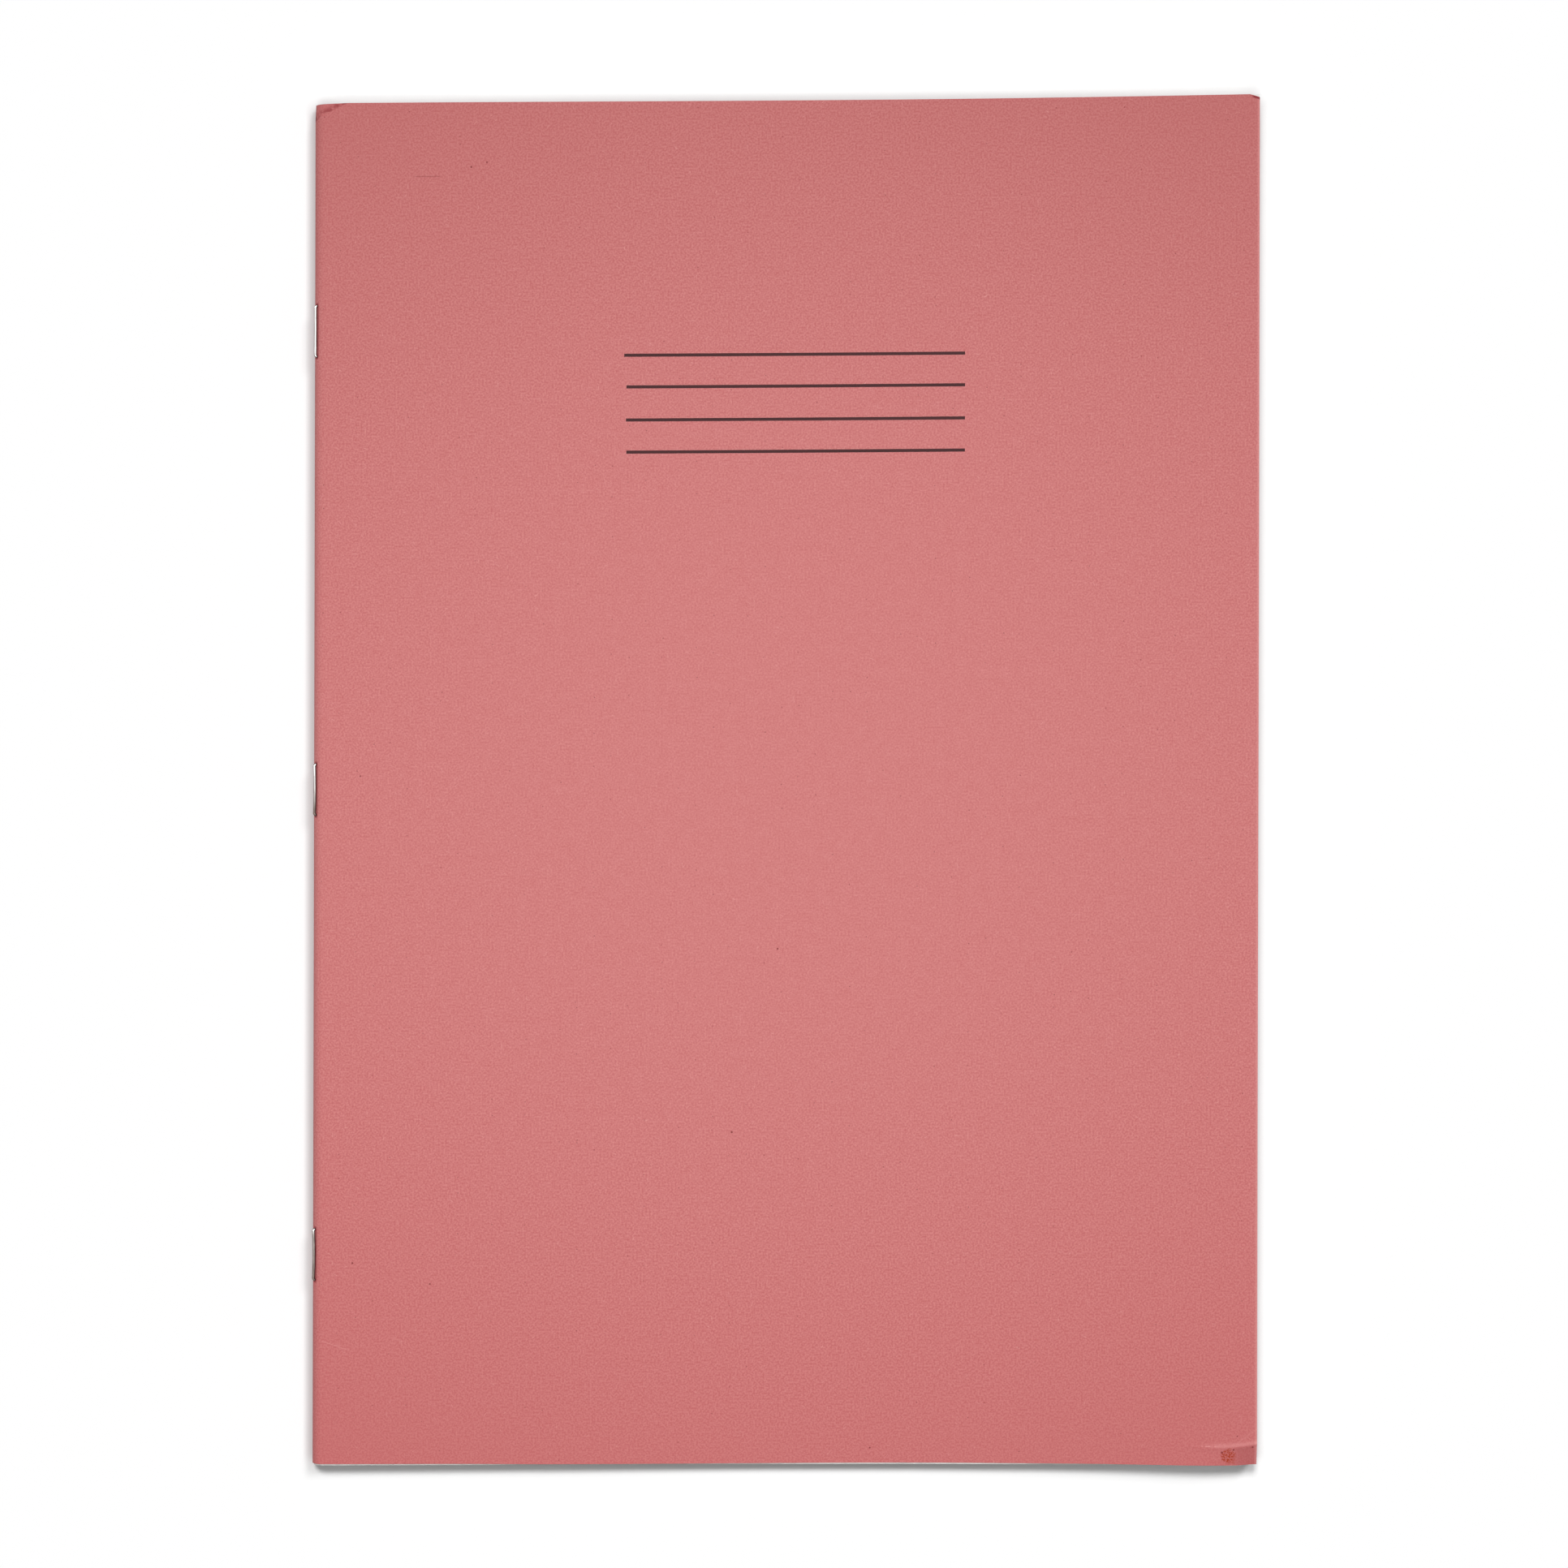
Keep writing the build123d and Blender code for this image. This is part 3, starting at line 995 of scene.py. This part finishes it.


# %% [markdown]
# One blank could make the whole sheet. A leaf of a book stays nearly flat as it turns, though, and only the
# narrow strip at the fold bends. So a sheet is three pieces that meet edge to edge: each leaf rides on its
# own body, and the strip between them stays where it was made.

# %% Make the sheets
FOLD_LAND = 0.6  # flat width of a strip beside its bend
LAND_STEP = 0.3
FOLD_STEPS = 10
LEAF_STEP = 34.0
NEAR_FOLD = [2, 4, 6]
NEAR_EDGE = 188.0
EDGE_STEP = 2.5
chance = random.Random(16)
for number, sheet in enumerate(sheets):
    leaf_low, leaf_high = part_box(f"{sheet}_back_leaf")
    radius, paper = FOLD_AXIS.z - leaf_low.z, leaf_high.z - leaf_low.z
    tilt = GAPE * (len(sheets) - number) / (len(sheets) + 1)
    arc = fold_length(radius, tilt) / MM
    play = [chance.uniform(-1, 1) for _ in range(3)]
    back_body = f"{sheet}_back_leaf" if number else "back_half"
    behind = grid_lines([-arc - REACH_MM, -arc - FOLD_LAND], LEAF_STEP)
    bend_step = arc / FOLD_STEPS
    strip = grid_lines([-arc - FOLD_LAND, -arc], LAND_STEP)[:-1] + grid_lines([-arc, 0], bend_step)
    strip = grid_lines(strip + [FOLD_LAND], LAND_STEP + bend_step)
    before = grid_lines([FOLD_LAND] + NEAR_FOLD + grid_lines([NEAR_EDGE, REACH_MM], EDGE_STEP), LEAF_STEP)

    back_page = make_page_part(f"{sheet}_back_page", behind, radius, paper, tilt, play)
    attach(back_page, back_body)
    front_page = make_page_part(f"{sheet}_front_page", before, radius, paper, tilt, play)
    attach(front_page, f"{sheet}_front_leaf")
    fold_strip = make_page_part(f"{sheet}_fold_strip", strip, radius, paper, tilt, play)
    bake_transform(fold_strip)
    for piece, node in ((back_page, "back_leaf"), (front_page, "front_leaf"), (fold_strip, "fold")):
        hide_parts(f"{sheet}_{node}")
print(len(sheets), "sheets,", len(front_page.data.polygons), "faces on a front leaf")

# %% [markdown]
# ## Staples
# A staple is one length of galvanised wire: two ends bent over in the middle of the book, two legs through
# the fold and a crown outside. Its flanks are painted darker than its upper side as painted shade, the head
# end of its crown has a painted glint, and the lower staples have tarnished. A finish can't know which way a
# point of the wire faces, so each point stores how far it faces up and how tarnished it is.

# %% Wire finish
WIRE_BRIGHT = shade(222, 221, 219), shade(244, 243, 241)  # between and on the streaks of the drawn wire
WIRE_TARNISHED = shade(106, 94, 87), shade(134, 122, 114)
# painted shade on the wire's flanks
WIRE_FLANK_SHADE = shade(88, 70, 68), shade(124, 106, 102)
WIRE_SPOT = shade(112, 92, 80)
STREAK_CELL = (MM, 12 * MM, MM)
STREAK_SCALE = 6.0
SPOT_SCALE = 900.0  # to a metre


def wire_finish():
    shading = Shading(bpy.data.materials.new("galvanised_wire"))
    place = shading.node("ShaderNodeTexCoord", output="Object")
    drawn = shading.node("ShaderNodeMapping", {"vector_type": "TEXTURE"},
                         {"Vector": place, "Scale": STREAK_CELL})
    streaks = shading.noise(drawn, STREAK_SCALE)
    spots = shading.noise(place, SPOT_SCALE)
    facing_up = shading.attribute("facing_up", "Fac")
    tarnish = shading.attribute("tarnish", "Fac")
    bright, tarnished, flank = [shading.mix(streaks.rise(0.3, 0.7), *pair)
                                for pair in (WIRE_BRIGHT, WIRE_TARNISHED, WIRE_FLANK_SHADE)]
    colour = shading.mix(tarnish, bright, tarnished)
    # painted shade: the flanks, which face less upwards, are darker
    colour = shading.mix(facing_up.rise(0.70, 0.92), flank, colour)
    colour = shading.mix(0.5 * spots.rise(0.6, 0.75), colour, WIRE_SPOT)
    return shading.skin({"Base Color": colour, "Metallic": 1.0,
                         "Roughness": 0.22 + 0.16 * streaks + 0.12 * tarnish})


wire = wire_finish()
print(wire.name, len(wire.node_tree.nodes), "nodes")

# %% [markdown]
# A curve with a round profile could make the wire, but a ring of points that walks along the path leaves even
# faces: an extrusion for each straight run and a spin for each bend. The crown was squeezed against a round
# spine, so it bows a little.

# %% Bend a wire
BEND = 0.45 * MM
WIRE_SIDES = 24
BEND_STEPS = 6


def walk_wire(bm, start, moves):
    """Walks a ring along a path in the local XZ plane; a move is a straight run or a turn about local Y."""
    stood = Matrix.Translation(start) @ Matrix.Rotation(math.pi / 2, 4, "Y")
    ring = bmesh.ops.create_circle(bm, segments=WIRE_SIDES, radius=WIRE / 2, matrix=stood)["verts"]
    first = ring
    place, heading = Vector(start), Vector((-1, 0, 0))
    for kind, amount in moves:
        linked = {edge for vert in ring for edge in vert.link_edges}
        edges = [edge for edge in linked if all(vert in ring for vert in edge.verts)]
        if kind == "run":
            made = bmesh.ops.extrude_edge_only(bm, edges=edges)["geom"]
            ring = [part for part in made if isinstance(part, bmesh.types.BMVert)]
            bmesh.ops.translate(bm, verts=ring, vec=heading * amount)
            place = place + heading * amount
        else:
            turn = Matrix.Rotation(amount, 3, "Y")
            centre = place + (turn @ heading) * BEND
            made = bmesh.ops.spin(bm, geom=edges + ring, cent=centre, axis=(0, 1, 0), angle=amount,
                                  steps=BEND_STEPS)["geom_last"]
            ring = [part for part in made if isinstance(part, bmesh.types.BMVert)]
            place = centre + turn @ (place - centre)
            heading = turn @ heading
    for end in (first, ring):
        bmesh.ops.contextual_create(bm, geom=end)
    bmesh.ops.recalc_face_normals(bm, faces=bm.faces[:])


# %% Make the staples
CROWN_SEAT = 0.02 * MM
CLINCH = 4.2 * MM
CROWN_STEPS = 14
CROWN_BOWS = {"staple_top": 0.06 * MM, "staple_middle": 0.20 * MM, "staple_bottom": 0.28 * MM}
CROWN_TARNISH = {  # at the middle of the crown, and what it loses from there to the head end
    "staple_top": (0.05, 0.0), "staple_middle": (0.5, 0.6), "staple_bottom": (0.9, 0.1)}
GLINT_END = (0.84, 0.98)  # painted glint: towards the head end a crown loses its tarnish
GLINT_STRENGTH = 0.8


def store_wear(bm, tarnish, middle, leg):
    """Stores how far each point faces up and how tarnished it is, with a painted glint at the head end."""
    bm.normal_update()
    facing_layer = bm.verts.layers.float.new("facing_up")
    tarnish_layer = bm.verts.layers.float.new("tarnish")
    for vert in bm.verts:
        towards_head = (vert.co.y - middle) / leg
        glint = GLINT_STRENGTH * ease(towards_head, *GLINT_END)
        vert[facing_layer] = vert.normal.z
        vert[tarnish_layer] = (tarnish[0] - tarnish[1] * towards_head) * (1 - glint)


def make_staple(name):
    low, high = staple_boxes[name]
    leg = (high.y - low.y - WIRE) / 2
    crown = SPINE_RADIUS + CROWN_SEAT + WIRE / 2
    quarter = math.pi / 2
    clinch_run, leg_run, crown_run = CLINCH - BEND, crown - 2 * BEND, 2 * (leg - BEND)
    moves = [("run", clinch_run), ("turn", quarter), ("run", leg_run), ("turn", quarter)]
    moves += [("run", crown_run / CROWN_STEPS)] * CROWN_STEPS
    moves += [("turn", quarter), ("run", leg_run), ("turn", quarter), ("run", clinch_run)]
    bm = bmesh.new()
    walk_wire(bm, (CLINCH - leg, 0, 0), moves)
    for vert in bm.verts:
        outside = ease(vert.co.z, SPINE_RADIUS - WIRE, SPINE_RADIUS)
        vert.co.y -= outside * CROWN_BOWS[name] * (1 - (vert.co.x / leg) ** 2)
    sideways = STITCH_OUT.cross((0, 1, 0))
    turned = Matrix((Vector((0, 1, 0)), sideways, STITCH_OUT)).transposed().to_4x4()
    middle = FOLD_AXIS + Vector((0, (low.y + high.y) / 2, 0))
    bmesh.ops.transform(bm, matrix=Matrix.Translation(middle) @ turned, verts=bm.verts[:])
    store_wear(bm, CROWN_TARNISH[name], middle.y, leg)
    piece = make_piece(f"{name}_wire", bm, wire)
    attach(piece, "spine")
    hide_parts(name)
    return piece


for name in staple_boxes:
    piece = make_staple(name)
    print(piece.name, len(piece.data.polygons), "faces")
